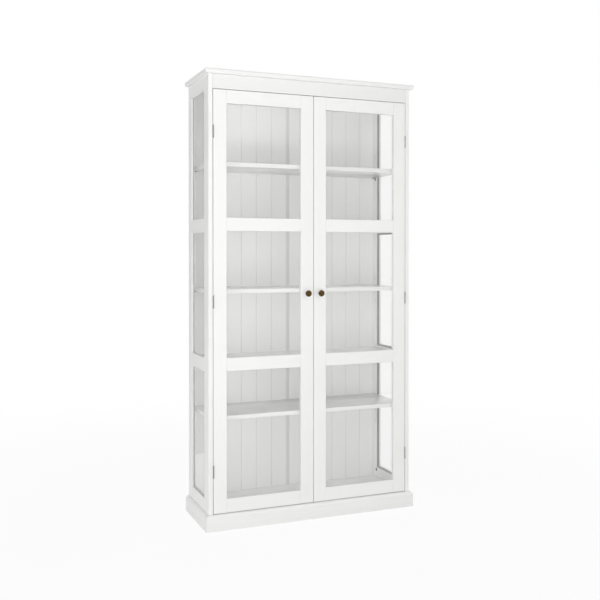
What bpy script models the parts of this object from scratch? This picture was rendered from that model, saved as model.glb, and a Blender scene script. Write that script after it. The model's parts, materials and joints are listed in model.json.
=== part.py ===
"""Tall white display cabinet: two glazed doors, glazed side frames and a boarded back.

Units are metres, +Z is up and the cabinet faces -Y. The origin lies on the floor, in the middle
of the width and of the whole depth, knobs included. Every piece is drawn on the right-hand side
(+X) in cabinet coordinates, and its left-hand twin is the mirror image.
"""

import math

import bmesh
import bpy
from mathutils import Matrix, Vector

# Case
CASE_WIDTH = 0.967
CASE_DEPTH = 0.325
CABINET_HEIGHT = 1.960
SIDE_THICKNESS = 0.0185
JOINT_GAP = 0.0003
EDGE_EASE = 0.0008
EASE_STEPS = 2

# Cap board
CAP_THICKNESS = 0.020
CAP_SIDE_OVERHANG = 0.0165
CAP_FRONT_OVERHANG = 0.015
CAP_EDGE_RADIUS = 0.005
EDGE_ARC_STEPS = 6

# Base panel and plinth
BASE_TOP = 0.068
BASE_THICKNESS = 0.018
PLINTH_SIDE_OVERHANG = 0.015
PLINTH_FRONT_OVERHANG = 0.016
PLINTH_EDGE_RADIUS = 0.0125
PLINTH_LEDGE = 0.014
MITRE_GAP = 0.0004
REAR_BATTEN_THICKNESS = 0.018

# Side frames
FRONT_STILE_WIDTH = 0.068
REAR_STILE_WIDTH = 0.050
SIDE_TOP_RAIL_HEIGHT = 0.0625
SIDE_BOTTOM_RAIL_HEIGHT = 0.055
SIDE_MID_RAIL_HEIGHT = 0.059
SIDE_RAIL_DROP = 0.0035
MID_RAIL_HEIGHT = 0.0565
LOWER_RAIL_CENTRE = 0.7042
UPPER_RAIL_CENTRE = 1.3037

# Panes; the side panes lie this far inside the outer face, in a rebate cut from the inner face
GLASS_THICKNESS = 0.004
PANE_REVEAL = 0.009
PANE_REBATE = 0.008

# Boarded back in two halves with a joining strip between them
BACK_THICKNESS = 0.006
BACK_RECESS = 0.003
BACK_REBATE = 0.008
BOARD_PITCH = 0.0753
GROOVE_WIDTH = 0.0036
GROOVE_DEPTH = 0.0020
STRIP_WIDTH = 0.016
STRIP_RECESS = 0.002
STRIP_FLANGE_WIDTH = 0.040
STRIP_FLANGE_THICKNESS = 0.0016

# Shelves
SHELF_THICKNESS = 0.018
FIXED_SHELF_SETBACK = 0.025
LOOSE_SHELF_SETBACK = 0.030
LOOSE_SHELF_PLAY = 0.001

# Shelf supports: three holes in each section of every stile
LOWER_HOLES_BELOW_RAIL = 0.304
MIDDLE_HOLES_ABOVE_RAIL = 0.296
UPPER_HOLES_ABOVE_RAIL = 0.300
SUPPORT_PITCH = 0.0555
LOWER_SHELF_STEP = 1
MIDDLE_SHELF_STEP = 0
UPPER_SHELF_STEP = -1
SUPPORT_FRONT_INSET = 0.050
SUPPORT_REAR_INSET = 0.025
SUPPORT_PEG_RADIUS = 0.0025
SUPPORT_PEG_LENGTH = 0.009
SUPPORT_PLAY = 0.0003
SUPPORT_PLATE_HEIGHT = 0.0140
SUPPORT_PLATE_WIDTH = 0.008
SUPPORT_PLATE_THICKNESS = 0.0012
SUPPORT_TONGUE_LENGTH = 0.015
SUPPORT_WELD = 0.0005
SUPPORT_DROP = 0.006

# Pockets of the cam locks that draw the side frames to the base panel and the cap
CAM_POCKET_RADIUS = 0.0076
CAM_POCKET_DEPTH = 0.0125
CAM_DISTANCE = 0.034
CAM_FRONT_INSET = 0.034
CAM_REAR_INSET = 0.035

# Frieze rail above the doors
FRIEZE_HEIGHT = 0.0615
FRIEZE_THICKNESS = 0.020
FRIEZE_END_RADIUS = 0.0022
FRIEZE_END_STEPS = 3

# Doors
DOOR_THICKNESS = 0.020
DOOR_STILE_WIDTH = 0.059
DOOR_TOP_RAIL_HEIGHT = 0.057
DOOR_BOTTOM_RAIL_HEIGHT = 0.0593
DOOR_LIP_THICKNESS = 0.010
PANE_GROOVE_DEPTH = 0.007
DOOR_TOP_GAP = 0.0028
DOOR_BOTTOM_GAP = 0.0027
MEETING_GAP = 0.003
PANE_PLAY = 0.0015

# Hinges; their pins stand this far from the middle of the gap, towards the door
HINGE_SET_OVER = 0.0015
HINGE_LENGTH = 0.050
HINGE_END_DISTANCE = 0.1795
LEAF_WIDTH = 0.017
LEAF_THICKNESS = 0.001
LEAF_SPACING = 0.0004
KNUCKLE_GAP = 0.0004
BARREL_RADIUS = 0.0025
BARREL_CLEARANCE = 0.0003
HINGE_PIN_RADIUS = 0.0011
HINGE_PIN_PLAY = 0.0003
HINGE_BALL_RADIUS = 0.0022

# Holes for the hinge screws in the leaves and in the wood behind them
SCREW_SPACING = 0.034
SCREW_SETBACK = 0.010
SCREW_HEAD_HOLE_RADIUS = 0.003
SCREW_HOLE_RADIUS = 0.0018
SCREW_HOLE_DEPTH = 0.011

# Knobs
KNOB_HEIGHT = 1.002
KNOB_REACH = 0.025
KNOB_RADIUS = 0.01425
KNOB_NECK_RADIUS = 0.0052
KNOB_FOOT_RADIUS = 0.008
KNOB_BORE_DEPTH = 0.009
KNOB_SCREW_HOLE_RADIUS = 0.0023

# Magnetic catches behind the top of the doors
CATCH_WIDTH = 0.036
CATCH_DEPTH = 0.013
CATCH_FOOT_HEIGHT = 0.020
CATCH_NOSE_HEIGHT = 0.018
STRIKE_WIDTH = 0.020
STRIKE_HEIGHT = 0.012
STRIKE_THICKNESS = 0.0012
STRIKE_TOP_INSET = 0.003

# Facets of the round pieces
KNOB_SIDES = 24
BARREL_SIDES = 12
HOLE_SIDES = 8
HINGE_BALL_STEPS = 4

# Places worked out from the sizes above
HALF_CASE = CASE_WIDTH / 2
SIDE_INNER = HALF_CASE - SIDE_THICKNESS
FRONT_REACH = max(KNOB_REACH, CAP_FRONT_OVERHANG, PLINTH_FRONT_OVERHANG)
FRONT_Y = (FRONT_REACH - CASE_DEPTH) / 2
BACK_Y = FRONT_Y + CASE_DEPTH
CAP_UNDERSIDE = CABINET_HEIGHT - CAP_THICKNESS
BASE_UNDERSIDE = BASE_TOP - BASE_THICKNESS
FRAME_BOTTOM = BASE_TOP + JOINT_GAP
FRAME_TOP = CAP_UNDERSIDE - JOINT_GAP
FRONT_STILE_EDGE = FRONT_Y + FRONT_STILE_WIDTH
REAR_STILE_EDGE = BACK_Y - REAR_STILE_WIDTH
BACK_OUTER_Y = BACK_Y - BACK_RECESS
BACK_INNER_Y = BACK_OUTER_Y - BACK_THICKNESS
PANE_OUTER_X = HALF_CASE - PANE_REVEAL
PANE_INNER_X = PANE_OUTER_X - GLASS_THICKNESS

LOWER_HOLES = LOWER_RAIL_CENTRE - LOWER_HOLES_BELOW_RAIL
MIDDLE_HOLES = LOWER_RAIL_CENTRE + MIDDLE_HOLES_ABOVE_RAIL
UPPER_HOLES = UPPER_RAIL_CENTRE + UPPER_HOLES_ABOVE_RAIL
SUPPORT_ROWS_Y = (FRONT_Y + SUPPORT_FRONT_INSET, BACK_Y - SUPPORT_REAR_INSET)
CAM_ROWS_Y = (FRONT_Y + CAM_FRONT_INSET, BACK_Y - CAM_REAR_INSET)

FRIEZE_BOTTOM = CAP_UNDERSIDE - FRIEZE_HEIGHT
DOOR_TOP = FRIEZE_BOTTOM - DOOR_TOP_GAP
DOOR_BOTTOM = BASE_TOP + DOOR_BOTTOM_GAP
DOOR_SIDE_GAP = 2 * JOINT_GAP + 2 * LEAF_THICKNESS + LEAF_SPACING
DOOR_OUTER_X = SIDE_INNER - DOOR_SIDE_GAP
DOOR_INNER_X = MEETING_GAP / 2
DOOR_REAR_Y = FRONT_Y + DOOR_THICKNESS
PANE_LEFT_X = DOOR_INNER_X + DOOR_STILE_WIDTH
PANE_RIGHT_X = DOOR_OUTER_X - DOOR_STILE_WIDTH
GROOVE_FRONT_Y = FRONT_Y + DOOR_LIP_THICKNESS
DOOR_PANE_FRONT_Y = GROOVE_FRONT_Y + JOINT_GAP
DOOR_PANE_REAR_Y = DOOR_PANE_FRONT_Y + GLASS_THICKNESS
GROOVE_REAR_Y = DOOR_PANE_REAR_Y + JOINT_GAP
MEETING_STILE_CENTRE = DOOR_INNER_X + DOOR_STILE_WIDTH / 2

HINGE_X = SIDE_INNER - DOOR_SIDE_GAP / 2 - HINGE_SET_OVER
HINGE_Y = FRONT_Y - BARREL_RADIUS - BARREL_CLEARANCE
HINGE_CENTRES = {
    "lower": DOOR_BOTTOM + HINGE_END_DISTANCE,
    "middle": (DOOR_BOTTOM + DOOR_TOP) / 2,
    "upper": DOOR_TOP - HINGE_END_DISTANCE,
}

# Angle, seen from its middle, at which the ball of a hinge pin meets the pin
HINGE_BALL_NECK = math.radians(30)

# Rounded pieces are shaded smooth up to this angle between neighbouring faces
SMOOTH_ANGLE = math.radians(40)


def clear_scene():
    """Start from an empty scene."""
    for obj in list(bpy.data.objects):
        bpy.data.objects.remove(obj, do_unlink=True)


# Materials

def painted(name, colour=(0.93, 0.93, 0.92), roughness=0.42, metallic=0.0):
    """Principled material of one piece; the default is the white satin paint."""
    material = bpy.data.materials.new(name + "_finish")
    material.use_nodes = True
    shader = material.node_tree.nodes["Principled BSDF"]
    shader.inputs["Base Color"].default_value = (*colour, 1.0)
    shader.inputs["Roughness"].default_value = roughness
    shader.inputs["Metallic"].default_value = metallic
    return material


def clear_glass(name):
    material = painted(name, (0.95, 0.97, 0.96), 0.04)
    material.node_tree.nodes["Principled BSDF"].inputs["Transmission Weight"].default_value = 1.0
    return material


def nickel_steel(name):
    return painted(name, (0.52, 0.51, 0.49), 0.35, 1.0)


def aged_brass(name):
    return painted(name, (0.26, 0.17, 0.06), 0.38, 1.0)


def white_plastic(name):
    return painted(name, (0.80, 0.80, 0.79), 0.50)


def strip_plastic(name):
    return painted(name, (0.76, 0.76, 0.75), 0.50)


# Mesh helpers

def finished_mesh(name, bm, finish, side=1, smooth=False):
    """Mesh of one piece, mirrored for side -1, with its material."""
    if side < 0:
        bmesh.ops.scale(bm, vec=(-1, 1, 1), verts=bm.verts)
    bmesh.ops.recalc_face_normals(bm, faces=bm.faces)
    mesh = bpy.data.meshes.new(name)
    bm.to_mesh(mesh)
    bm.free()
    if smooth:
        mesh.shade_smooth()
        mesh.set_sharp_from_angle(angle=SMOOTH_ANGLE)
    if finish:
        mesh.materials.append(finish(name))
    return mesh


def put(name, mesh, location, parent=None):
    """Object with this mesh; the location is in cabinet coordinates."""
    obj = bpy.data.objects.new(name, mesh)
    bpy.context.scene.collection.objects.link(obj)
    if parent:
        obj.parent = parent
        location = Vector(location) - parent.location
    obj.location = location
    return obj


def place(name, bm, finish, origin, side=1, parent=None, smooth=False):
    """Make an object from a body drawn in cabinet coordinates; side -1 gives the mirror image."""
    bmesh.ops.translate(bm, verts=bm.verts, vec=-Vector(origin))
    mesh = finished_mesh(name, bm, finish, side, smooth)
    return put(name, mesh, (side * origin[0], origin[1], origin[2]), parent)


def empty(name, location):
    obj = bpy.data.objects.new(name, None)
    bpy.context.scene.collection.objects.link(obj)
    obj.location = location
    return obj


def box(low, high):
    """Closed box between two opposite corners."""
    low, high = Vector(low), Vector(high)
    bm = bmesh.new()
    bmesh.ops.create_cube(bm, size=1.0)
    bmesh.ops.scale(bm, vec=high - low, verts=bm.verts)
    bmesh.ops.translate(bm, vec=(low + high) / 2, verts=bm.verts)
    return bm


def ease(bm, edges):
    """Round the given edges a little, as sanding and paint leave them."""
    bmesh.ops.bevel(bm, geom=edges, offset=EDGE_EASE, segments=EASE_STEPS, profile=0.5,
                    affect="EDGES", clamp_overlap=True)
    return bm


def board(low, high):
    """Board with all its edges eased."""
    bm = box(low, high)
    return ease(bm, bm.edges[:])


def edges_on(bm, axis, value):
    """Sharp edges that lie in the plane where the coordinate `axis` has this value."""
    near = 1e-6
    return [e for e in bm.edges if all(abs(v.co[axis] - value) < near for v in e.verts)
            and e.calc_face_angle() > SMOOTH_ANGLE]


def blocks(xs, ys, zs, filled):
    """One closed body from the cells of a small grid for which filled(i, j, k) is true."""
    bm = bmesh.new()
    points = {}

    def corner(i, j, k):
        if (i, j, k) not in points:
            points[i, j, k] = bm.verts.new((xs[i], ys[j], zs[k]))
        return points[i, j, k]

    def solid(i, j, k):
        inside = 0 <= i < len(xs) - 1 and 0 <= j < len(ys) - 1 and 0 <= k < len(zs) - 1
        return inside and filled(i, j, k)

    for i in range(len(xs) - 1):
        for j in range(len(ys) - 1):
            for k in range(len(zs) - 1):
                if not solid(i, j, k):
                    continue
                for axis in range(3):
                    for step in (0, 1):
                        neighbour = [i, j, k]
                        neighbour[axis] += 2 * step - 1
                        if solid(*neighbour):
                            continue
                        a, b = [n for n in range(3) if n != axis]
                        ring = []
                        for da, db in ((0, 0), (1, 0), (1, 1), (0, 1)):
                            cell = [i, j, k]
                            cell[axis] += step
                            cell[a] += da
                            cell[b] += db
                            ring.append(corner(*cell))
                        bm.faces.new(ring)
    bmesh.ops.recalc_face_normals(bm, faces=bm.faces)
    bmesh.ops.dissolve_limit(bm, angle_limit=math.radians(1), verts=bm.verts, edges=bm.edges)
    return bm


def prism(first, last):
    """Closed body between two outlines of equally many points."""
    bm = bmesh.new()
    start = [bm.verts.new(p) for p in first]
    end = [bm.verts.new(p) for p in last]
    bm.faces.new(start)
    bm.faces.new(list(reversed(end)))
    for i in range(len(start)):
        j = (i + 1) % len(start)
        bm.faces.new((start[i], end[i], end[j], start[j]))
    bmesh.ops.recalc_face_normals(bm, faces=bm.faces)
    return bm


def upright(outline, bottom, top):
    """An outline in x and y drawn up from one height to another."""
    return prism([(x, y, bottom) for x, y in outline], [(x, y, top) for x, y in outline])


def loft(rings):
    """Closed body through a stack of rings of equally many points."""
    bm = bmesh.new()
    loops = [[bm.verts.new(p) for p in ring] for ring in rings]
    for lower, upper in zip(loops, loops[1:]):
        for i in range(len(lower)):
            j = (i + 1) % len(lower)
            bm.faces.new((lower[i], lower[j], upper[j], upper[i]))
    bm.faces.new(list(reversed(loops[0])))
    bm.faces.new(loops[-1])
    return bm


def turned(profile, sides):
    """Solid of revolution about Z from (radius, height) points that start and end on the axis."""
    bm = bmesh.new()
    verts = [bm.verts.new((r, 0, z)) for r, z in profile]
    edges = [bm.edges.new(pair) for pair in zip(verts, verts[1:])]
    bmesh.ops.spin(bm, geom=verts + edges, cent=(0, 0, 0), axis=(0, 0, 1), dvec=(0, 0, 0),
                   angle=2 * math.pi, steps=sides, use_merge=True, use_duplicate=False)
    bmesh.ops.remove_doubles(bm, verts=bm.verts, dist=1e-6)
    bmesh.ops.recalc_face_normals(bm, faces=bm.faces)
    return bm


def aim(bm, start, direction):
    """Turn a body drawn along +Z so that it points along `direction` from `start`."""
    turn = Vector((0, 0, 1)).rotation_difference(Vector(direction)).to_matrix().to_4x4()
    bmesh.ops.transform(bm, matrix=Matrix.Translation(start) @ turn, verts=bm.verts)
    return bm


def rod(start, direction, radius, length, sides):
    """Closed cylinder."""
    bm = bmesh.new()
    bmesh.ops.create_cone(bm, cap_ends=True, segments=sides, radius1=radius, radius2=radius,
                          depth=length)
    bmesh.ops.translate(bm, vec=(0, 0, length / 2), verts=bm.verts)
    return aim(bm, start, direction)


def joined(bodies):
    """Several bodies in one mesh."""
    bm = bmesh.new()
    for body in bodies:
        mesh = bpy.data.meshes.new("body")
        body.to_mesh(mesh)
        body.free()
        bm.from_mesh(mesh)
        bpy.data.meshes.remove(mesh)
    return bm


def flipped(bm):
    """Mirror image of a body on the other side of the cabinet."""
    copy = bm.copy()
    bmesh.ops.scale(copy, vec=(-1, 1, 1), verts=copy.verts)
    bmesh.ops.reverse_faces(copy, faces=copy.faces)
    return copy


def add_boolean(obj, cutter, operation):
    cutter.hide_render = True
    cutter.display_type = "WIRE"
    modifier = obj.modifiers.new(cutter.name, "BOOLEAN")
    modifier.operation = operation
    modifier.solver = "EXACT"
    modifier.object = cutter


def drill(obj, label, rods, side=1):
    """Cut a group of holes, none of which meets another, into an object."""
    cutter = place(obj.name + label, joined(rods), None, (0, 0, 0), side, obj.parent)
    add_boolean(obj, cutter, "DIFFERENCE")


def combined(body, tool, operation):
    """Body after joining a tool to it, or cutting it from it."""
    obj = put("body", finished_mesh("body", body, None), (0, 0, 0))
    cutter = put("tool", finished_mesh("tool", tool, None), (0, 0, 0))
    add_boolean(obj, cutter, operation)
    evaluated = obj.evaluated_get(bpy.context.evaluated_depsgraph_get())
    result = bmesh.new()
    result.from_mesh(evaluated.to_mesh())
    evaluated.to_mesh_clear()
    for used in (obj, cutter):
        bpy.data.meshes.remove(used.data, do_unlink=True)
    return result


def united(bodies):
    """One body from overlapping ones."""
    whole = bodies[0]
    for body in bodies[1:]:
        whole = combined(whole, body, "UNION")
    return whole


def limited(radius, room):
    """A fillet radius that leaves a little of the wall it is cut from."""
    return min(radius, 0.9 * room)


# Cap, base and plinth

def cap_board():
    """Top board: upper and lower edges rounded at the front and sides; flush at the back."""
    reach_x = HALF_CASE + CAP_SIDE_OVERHANG
    front = FRONT_Y - CAP_FRONT_OVERHANG
    room = min(CAP_THICKNESS / 2, CAP_FRONT_OVERHANG, CAP_SIDE_OVERHANG)
    radius = limited(CAP_EDGE_RADIUS, room)

    def ring(inset, height):
        x, y = reach_x - inset, front + inset
        return [(-x, y, height), (x, y, height), (x, BACK_Y, height), (-x, BACK_Y, height)]

    lower, upper = [], []
    for step in range(EDGE_ARC_STEPS + 1):
        angle = math.pi / 2 * step / EDGE_ARC_STEPS
        inset = radius * (1 - math.sin(angle))
        rise = radius * (1 - math.cos(angle))
        lower.append(ring(inset, CAP_UNDERSIDE + rise))
        upper.append(ring(inset, CABINET_HEIGHT - rise))
    place("cap_board", loft(lower + upper[::-1]), painted, (0, 0, CAP_UNDERSIDE))


def base_panel():
    """Cabinet floor, on which the side frames stand."""
    edge = HALF_CASE - JOINT_GAP
    bm = board((-edge, FRONT_Y + JOINT_GAP, BASE_UNDERSIDE), (edge, BACK_Y, BASE_TOP))
    place("base_panel", bm, painted, (0, 0, BASE_UNDERSIDE))


def plinth_section(overhang):
    """Plinth profile as (out from the case, height): rounded top, ledge under the base panel."""
    radius = limited(PLINTH_EDGE_RADIUS, min(overhang, BASE_TOP))
    section = [(-PLINTH_LEDGE, 0), (overhang, 0)]
    for step in range(EDGE_ARC_STEPS + 1):
        angle = math.pi / 2 * step / EDGE_ARC_STEPS
        section.append((overhang - radius * (1 - math.cos(angle)),
                        BASE_TOP - radius * (1 - math.sin(angle))))
    ledge_top = BASE_UNDERSIDE - JOINT_GAP
    section += [(0, BASE_TOP), (0, ledge_top), (-PLINTH_LEDGE, ledge_top)]
    return section


def plinth_front():
    """Front plinth board, mitred at both ends."""
    slope = PLINTH_SIDE_OVERHANG / PLINTH_FRONT_OVERHANG
    ends = []
    for sign in (-1, 1):
        ends.append([(sign * (HALF_CASE + out * slope - MITRE_GAP), FRONT_Y - out, z)
                     for out, z in plinth_section(PLINTH_FRONT_OVERHANG)])
    place("plinth_front", prism(*ends), painted, (0, FRONT_Y, 0))


def plinth_side(name, side):
    """Side plinth board, mitred to the front one and square at the back."""
    slope = PLINTH_FRONT_OVERHANG / PLINTH_SIDE_OVERHANG
    section = plinth_section(PLINTH_SIDE_OVERHANG)
    front = [(HALF_CASE + out, FRONT_Y - out * slope, z) for out, z in section]
    back = [(HALF_CASE + out, BACK_Y, z) for out, z in section]
    place(name, prism(front, back), painted, (HALF_CASE, FRONT_Y, 0), side)


def plinth_rear():
    """Batten that carries the rear edge of the base panel."""
    edge = HALF_CASE - PLINTH_LEDGE - JOINT_GAP
    bm = board((-edge, BACK_Y - REAR_BATTEN_THICKNESS, 0), (edge, BACK_Y, BASE_UNDERSIDE - JOINT_GAP))
    place("plinth_rear", bm, painted, (0, BACK_Y, 0))


def frieze_rail():
    """Rail between the side frames, above the doors; its front corners are rounded."""
    edge = SIDE_INNER - JOINT_GAP
    rear = FRONT_Y + FRIEZE_THICKNESS
    radius = limited(FRIEZE_END_RADIUS, FRIEZE_THICKNESS)
    arc = []
    for step in range(FRIEZE_END_STEPS + 1):
        angle = math.pi / 2 * step / FRIEZE_END_STEPS
        arc.append((edge - radius * (1 - math.sin(angle)), FRONT_Y + radius * (1 - math.cos(angle))))
    outline = [(-x, y) for x, y in reversed(arc)] + arc + [(edge, rear), (-edge, rear)]
    bm = upright(outline, FRIEZE_BOTTOM, FRAME_TOP)
    ease(bm, edges_on(bm, 2, FRIEZE_BOTTOM) + edges_on(bm, 2, FRAME_TOP))
    place("frieze_rail", bm, painted, (0, FRONT_Y, FRIEZE_BOTTOM))


# Side frames

def support_heights():
    """Heights of the shelf support holes, three round the middle of each section."""
    heights = []
    for centre in (LOWER_HOLES, MIDDLE_HOLES, UPPER_HOLES):
        heights += [centre + step * SUPPORT_PITCH for step in (-1, 0, 1)]
    return heights


def side_holes():
    """Support holes, cam pockets and hinge screw holes, all drilled from the inner face."""
    start_x = SIDE_INNER - JOINT_GAP
    rods = []
    for y in SUPPORT_ROWS_Y:
        for height in support_heights():
            rods.append(rod((start_x, y, height), (1, 0, 0), SUPPORT_PEG_RADIUS + SUPPORT_PLAY,
                            SUPPORT_PEG_LENGTH + 2 * JOINT_GAP, HOLE_SIDES))
    for y in CAM_ROWS_Y:
        for height in (BASE_TOP + CAM_DISTANCE, CAP_UNDERSIDE - CAM_DISTANCE):
            rods.append(rod((start_x, y, height), (1, 0, 0), CAM_POCKET_RADIUS,
                            CAM_POCKET_DEPTH + JOINT_GAP, BARREL_SIDES))
    for start in screw_places(start_x):
        rods.append(rod(start, (1, 0, 0), SCREW_HOLE_RADIUS, SCREW_HOLE_DEPTH + JOINT_GAP, HOLE_SIDES))
    return rods


def screw_places(x):
    """Starting points of the hinge screws on a face at this x."""
    return [(x, FRONT_Y + SCREW_SETBACK, centre + offset)
            for centre in HINGE_CENTRES.values() for offset in (-SCREW_SPACING / 2, SCREW_SPACING / 2)]


def windows(bottom, top, rail_height, rail_drop=0.0):
    """Name, bottom and top of the three windows above each other in a frame."""
    lower_rail = LOWER_RAIL_CENTRE - rail_drop
    upper_rail = UPPER_RAIL_CENTRE - rail_drop
    half = rail_height / 2
    return (("lower", bottom, lower_rail - half),
            ("middle", lower_rail + half, upper_rail - half),
            ("upper", upper_rail + half, top))


def side_windows():
    """Windows of a side frame, whose middle rails lie a little lower than those of the doors."""
    return windows(BASE_TOP + SIDE_BOTTOM_RAIL_HEIGHT, CAP_UNDERSIDE - SIDE_TOP_RAIL_HEIGHT,
                   SIDE_MID_RAIL_HEIGHT, SIDE_RAIL_DROP)


def side_frame(name, side):
    """Glazed side: two stiles and four rails glued and painted as one.

    Rebates cut from its inner face hold the panes and the back.
    """
    back_floor = SIDE_INNER + BACK_REBATE
    pane_floor = PANE_OUTER_X + JOINT_GAP
    xs = sorted([SIDE_INNER, back_floor, pane_floor, HALF_CASE])
    ys = [FRONT_Y, FRONT_STILE_EDGE - PANE_REBATE, FRONT_STILE_EDGE, REAR_STILE_EDGE,
          REAR_STILE_EDGE + PANE_REBATE, BACK_INNER_Y - JOINT_GAP, BACK_Y]
    zs = [FRAME_BOTTOM]
    for _, low, high in side_windows():
        zs += [low - PANE_REBATE, low, high, high + PANE_REBATE]
    zs.append(FRAME_TOP)

    def filled(i, j, k):
        window = j == 2 and k % 4 == 2
        pane_rebate = xs[i] < pane_floor and j in (1, 2, 3) and k % 4 > 0
        back_rebate = xs[i] < back_floor and j == 5
        return not window and not pane_rebate and not back_rebate

    bm = blocks(xs, ys, zs, filled)
    ease(bm, edges_on(bm, 0, HALF_CASE) + edges_on(bm, 0, SIDE_INNER))
    frame = place(name, bm, painted, (HALF_CASE, FRONT_Y, FRAME_BOTTOM), side)
    drill(frame, "_holes", side_holes(), side)


def side_panes(hand, side):
    reach = PANE_REBATE - PANE_PLAY
    for level, low, high in side_windows():
        bm = box((PANE_INNER_X, FRONT_STILE_EDGE - reach, low - reach),
                 (PANE_OUTER_X, REAR_STILE_EDGE + reach, high + reach))
        place(f"{hand}_side_{level}_pane", bm, clear_glass, (PANE_INNER_X, FRONT_STILE_EDGE, low), side)


# Back

def back_panel(name, side):
    """Half of the back, with V grooves that divide it into narrow boards."""
    inner_edge = STRIP_WIDTH / 2 + JOINT_GAP
    outer_edge = SIDE_INNER + BACK_REBATE - JOINT_GAP
    outline = [(inner_edge, BACK_INNER_Y)]
    groove_x = STRIP_WIDTH / 2 + BOARD_PITCH
    while groove_x + GROOVE_WIDTH < outer_edge:
        outline += [(groove_x - GROOVE_WIDTH / 2, BACK_INNER_Y),
                    (groove_x, BACK_INNER_Y + GROOVE_DEPTH),
                    (groove_x + GROOVE_WIDTH / 2, BACK_INNER_Y)]
        groove_x += BOARD_PITCH
    outline += [(outer_edge, BACK_INNER_Y), (outer_edge, BACK_OUTER_Y), (inner_edge, BACK_OUTER_Y)]
    place(name, upright(outline, FRAME_BOTTOM, FRAME_TOP), painted, (0, BACK_OUTER_Y, 0), side)


def back_joining_strip():
    """Strip that joins the two halves: a recessed rib between them and a flange behind them."""
    rib = STRIP_WIDTH / 2 - JOINT_GAP
    flange = STRIP_FLANGE_WIDTH / 2
    rib_y = BACK_INNER_Y + limited(STRIP_RECESS, BACK_THICKNESS)
    flange_y = BACK_OUTER_Y + JOINT_GAP
    rear_y = flange_y + STRIP_FLANGE_THICKNESS
    outline = [(-rib, rib_y), (rib, rib_y), (rib, flange_y), (flange, flange_y), (flange, rear_y),
               (-flange, rear_y), (-flange, flange_y), (-rib, flange_y)]
    bm = upright(outline, FRAME_BOTTOM, FRAME_TOP)
    place("back_joining_strip", bm, strip_plastic, (0, BACK_OUTER_Y, 0))


# Shelves and their supports

def fixed_shelf(name, centre):
    """Shelf fixed between the side frames, behind the middle rails."""
    edge = SIDE_INNER - JOINT_GAP
    low, high = centre - SHELF_THICKNESS / 2, centre + SHELF_THICKNESS / 2
    bm = board((-edge, FRONT_Y + FIXED_SHELF_SETBACK, low), (edge, BACK_INNER_Y - JOINT_GAP, high))
    place(name, bm, painted, (0, FRONT_Y, low))


def shelf_support(y):
    """Support under the right end of a shelf whose underside is at height 0.

    A tongue lies under the shelf, a plate hangs down beside the wall, and a peg enters its hole.
    """
    plate_x = SIDE_INNER - JOINT_GAP
    xs = [plate_x - SUPPORT_TONGUE_LENGTH, plate_x - SUPPORT_PLATE_THICKNESS, plate_x]
    ys = [y - SUPPORT_PLATE_WIDTH / 2, y + SUPPORT_PLATE_WIDTH / 2]
    zs = [-SUPPORT_PLATE_HEIGHT, -SUPPORT_PLATE_THICKNESS, SUPPORT_WELD]
    bracket = blocks(xs, ys, zs, lambda i, j, k: i == 1 or k == 1)
    start = (plate_x - SUPPORT_PLATE_THICKNESS / 2, y, -SUPPORT_DROP)
    peg = rod(start, (1, 0, 0), SUPPORT_PEG_RADIUS,
              SUPPORT_PLATE_THICKNESS / 2 + JOINT_GAP + SUPPORT_PEG_LENGTH, HOLE_SIDES)
    return combined(bracket, peg, "UNION")


def loose_shelves():
    """Three alike adjustable shelves, each one body with its four supports."""
    edge = SIDE_INNER - LOOSE_SHELF_PLAY
    shelf = board((-edge, FRONT_Y + LOOSE_SHELF_SETBACK, 0),
                  (edge, BACK_INNER_Y - LOOSE_SHELF_PLAY, SHELF_THICKNESS))
    supports = []
    for y in SUPPORT_ROWS_Y:
        right = shelf_support(y)
        supports += [right, flipped(right)]
    mesh = finished_mesh("loose_shelf", united([shelf] + supports), painted)
    for level, holes, step in (("lower", LOWER_HOLES, LOWER_SHELF_STEP),
                               ("middle", MIDDLE_HOLES, MIDDLE_SHELF_STEP),
                               ("upper", UPPER_HOLES, UPPER_SHELF_STEP)):
        put(level + "_loose_shelf", mesh, (0, 0, holes + step * SUPPORT_PITCH + SUPPORT_DROP))


# Doors

def door_stile(name, pane_x, far_x, side, axis):
    """Full-height door upright with a groove for the panes along its edge at pane_x."""
    outward = math.copysign(1, far_x - pane_x)
    floor_x = pane_x + outward * PANE_GROOVE_DEPTH
    outline = [(pane_x, FRONT_Y), (far_x, FRONT_Y), (far_x, DOOR_REAR_Y), (pane_x, DOOR_REAR_Y),
               (pane_x, GROOVE_REAR_Y), (floor_x, GROOVE_REAR_Y), (floor_x, GROOVE_FRONT_Y),
               (pane_x, GROOVE_FRONT_Y)]
    bm = upright(outline, DOOR_BOTTOM, DOOR_TOP)
    ease(bm, edges_on(bm, 1, FRONT_Y) + edges_on(bm, 1, DOOR_REAR_Y))
    return place(name, bm, painted, (far_x, FRONT_Y, DOOR_BOTTOM), side, axis)


def hinge_stile(hand, side, axis):
    stile = door_stile(hand + "_door_hinge_stile", PANE_RIGHT_X, DOOR_OUTER_X, side, axis)
    holes = [rod(start, (-1, 0, 0), SCREW_HOLE_RADIUS, SCREW_HOLE_DEPTH + JOINT_GAP, HOLE_SIDES)
             for start in screw_places(DOOR_OUTER_X + JOINT_GAP)]
    drill(stile, "_screw_holes", holes, side)


def meeting_stile(hand, side, axis):
    stile = door_stile(hand + "_door_meeting_stile", PANE_LEFT_X, DOOR_INNER_X, side, axis)
    start = (MEETING_STILE_CENTRE, FRONT_Y - JOINT_GAP, KNOB_HEIGHT)
    hole = rod(start, (0, 1, 0), KNOB_SCREW_HOLE_RADIUS, DOOR_THICKNESS + 2 * JOINT_GAP, HOLE_SIDES)
    drill(stile, "_knob_hole", [hole], side)


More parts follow.
